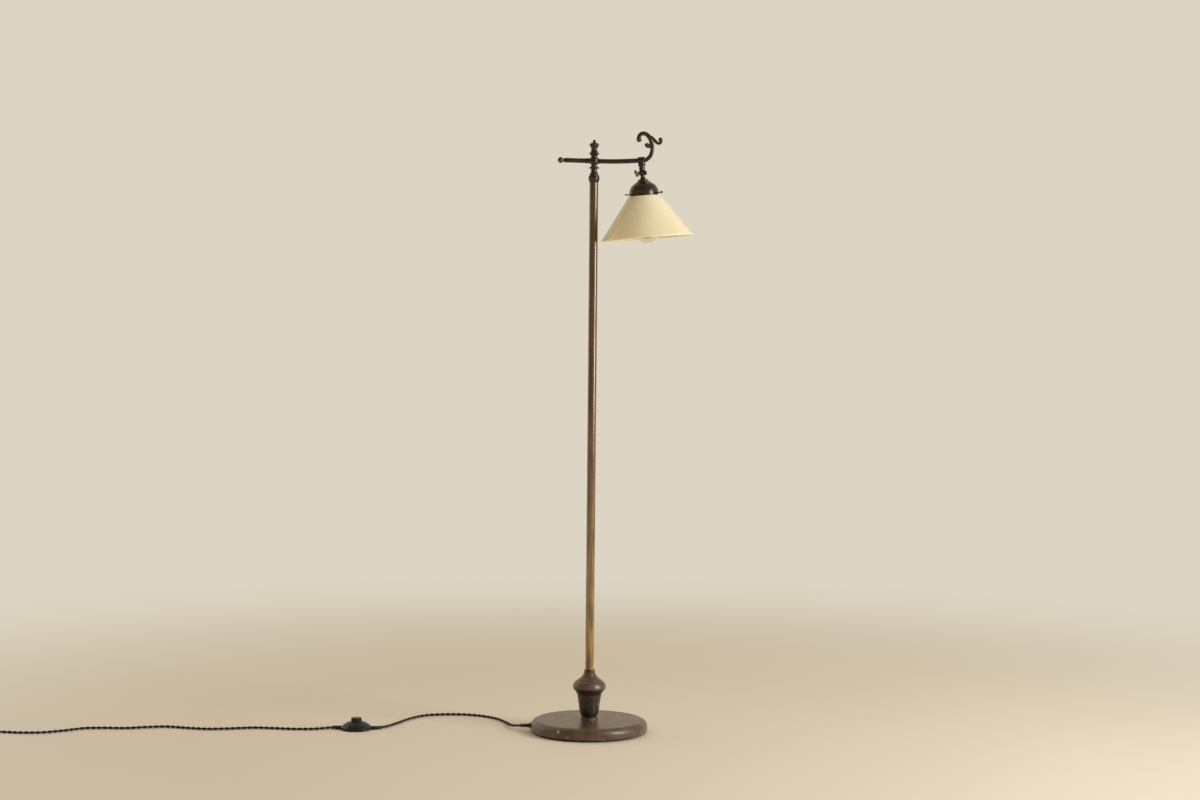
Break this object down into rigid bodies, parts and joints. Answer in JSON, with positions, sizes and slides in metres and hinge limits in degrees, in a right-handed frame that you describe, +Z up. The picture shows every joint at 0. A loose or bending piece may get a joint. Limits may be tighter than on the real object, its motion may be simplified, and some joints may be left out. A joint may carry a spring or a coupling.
{
  "type": "bridge floor lamp",
  "caption": "Bridge floor lamp: weighted round base with a vase, slim pole, turning cross arm with a scroll end, and a tilting cone glass shade; twisted cloth cord with a foot switch.",
  "frame": {"origin": "centre of the felt pad's lower face, on the floor under the pole", "axes": "+Z up along the pole, +X from the pole towards the hanging shade, the cord leaves the base towards -X"},
  "size_m": [1.6528, 0.3148, 1.3234],
  "materials": {
    "bronze_paint": "aged bronze-black, semi-gloss",
    "brown_paint": "dark brown bronze, semi-gloss with small chips",
    "pole_brass": "brown lacquer worn to golden brass",
    "worn_brass": "worn, lightly tarnished",
    "socket_brass": "plain brass sheet",
    "zinc_steel": "zinc-plated, threaded",
    "iron": "raw casting",
    "felt": "pressed wool felt",
    "cream_glass": "cream opal glass, dense",
    "clear_glass": "clear bulb glass",
    "bulb_metal": "rolled screw shell",
    "filament_gold": "fine wire on a glass stem",
    "black_phenolic": "moulded, glossy",
    "black_insulation": "plain wire insulation",
    "brown_fibre": "pressed fibre",
    "black_strap": "woven strap",
    "cloth_cord": "braided cloth, twisted pair"
  },
  "bodies": {
    "stand": {"base_felt": "felt", "base_weight": "iron", "base_cover": "brown_paint", "base_washer": "zinc_steel", "base_nut": "zinc_steel", "cord_bushing": "black_phenolic", "tie_pipe": "zinc_steel", "seat_ring": "brown_paint", "vase_body": "bronze_paint", "vase_cap": "brown_paint", "pole_collar": "bronze_paint", "pole_tube": "pole_brass", "pole_coupling": "bronze_paint", "bearing_ring": "bronze_paint", "pivot_nipple": "zinc_steel", "lock_bell": "bronze_paint", "finial": "bronze_paint", "lead_in_stand": "black_insulation", "cord_to_switch": "cloth_cord", "switch_plate": "black_phenolic", "switch_cover": "black_phenolic", "switch_core": "brown_fibre", "switch_spring": "zinc_steel", "switch_screws": "zinc_steel", "cord_run": "cloth_cord", "cord_coil": "cloth_cord", "coil_tie": "black_strap", "plug_body": "black_phenolic", "plug_blades": "worn_brass"},
    "arm": {"hub": "bronze_paint", "tail_ferrule": "bronze_paint", "tail_rod": "bronze_paint", "ball_knob": "worn_brass", "arm_tube": "bronze_paint", "end_collar": "bronze_paint", "scroll": "bronze_paint", "outlet_nipple": "zinc_steel", "check_ring": "bronze_paint", "knuckle_upper": "bronze_paint", "lead_in_arm": "black_insulation"},
    "shade": {"friction_washer": "brown_fibre", "knuckle_lower": "bronze_paint", "knuckle_nut": "bronze_paint", "fitter_nipple": "zinc_steel", "fitter_locknut": "zinc_steel", "fitter_dome": "bronze_paint", "thumbscrews": "bronze_paint", "shade_glass": "cream_glass", "socket_shell": "socket_brass", "socket_core": "black_phenolic", "socket_screw_shell": "socket_brass", "socket_contact": "socket_brass", "lead_in_fitter": "black_insulation", "bulb_base": "bulb_metal", "bulb_glass": "clear_glass", "bulb_filament": "filament_gold"},
    "clamp": {"clamp_screw": "worn_brass"},
    "button": {"switch_button": "black_phenolic"}
  },
  "joints": [
    {"name": "arm_swivel", "type": "hinge", "parent": "stand", "child": "arm", "pos_m": [0, 0, 1.25855], "axis": [0, 0, 1], "range_deg": [-170, 170]},
    {"name": "shade_tilt", "type": "hinge", "parent": "arm", "child": "shade", "pos_m": [0.10594, 0, 1.23319], "axis": [0.9962, 0, 0.0872], "range_deg": [-75, 75]},
    {"name": "clamp_turn", "type": "hinge", "parent": "arm", "child": "clamp", "pos_m": [0.10594, 0, 1.23319], "axis": [0.9962, 0, 0.0872], "range_deg": [-360, 0]},
    {"name": "button_press", "type": "slide", "parent": "stand", "child": "button", "axis": [0, 0, -1], "range_m": [0, 0.004], "stiffness_N_per_m": 1000, "springref_m": -0.003, "deforming": ["switch_spring"]}
  ]
}
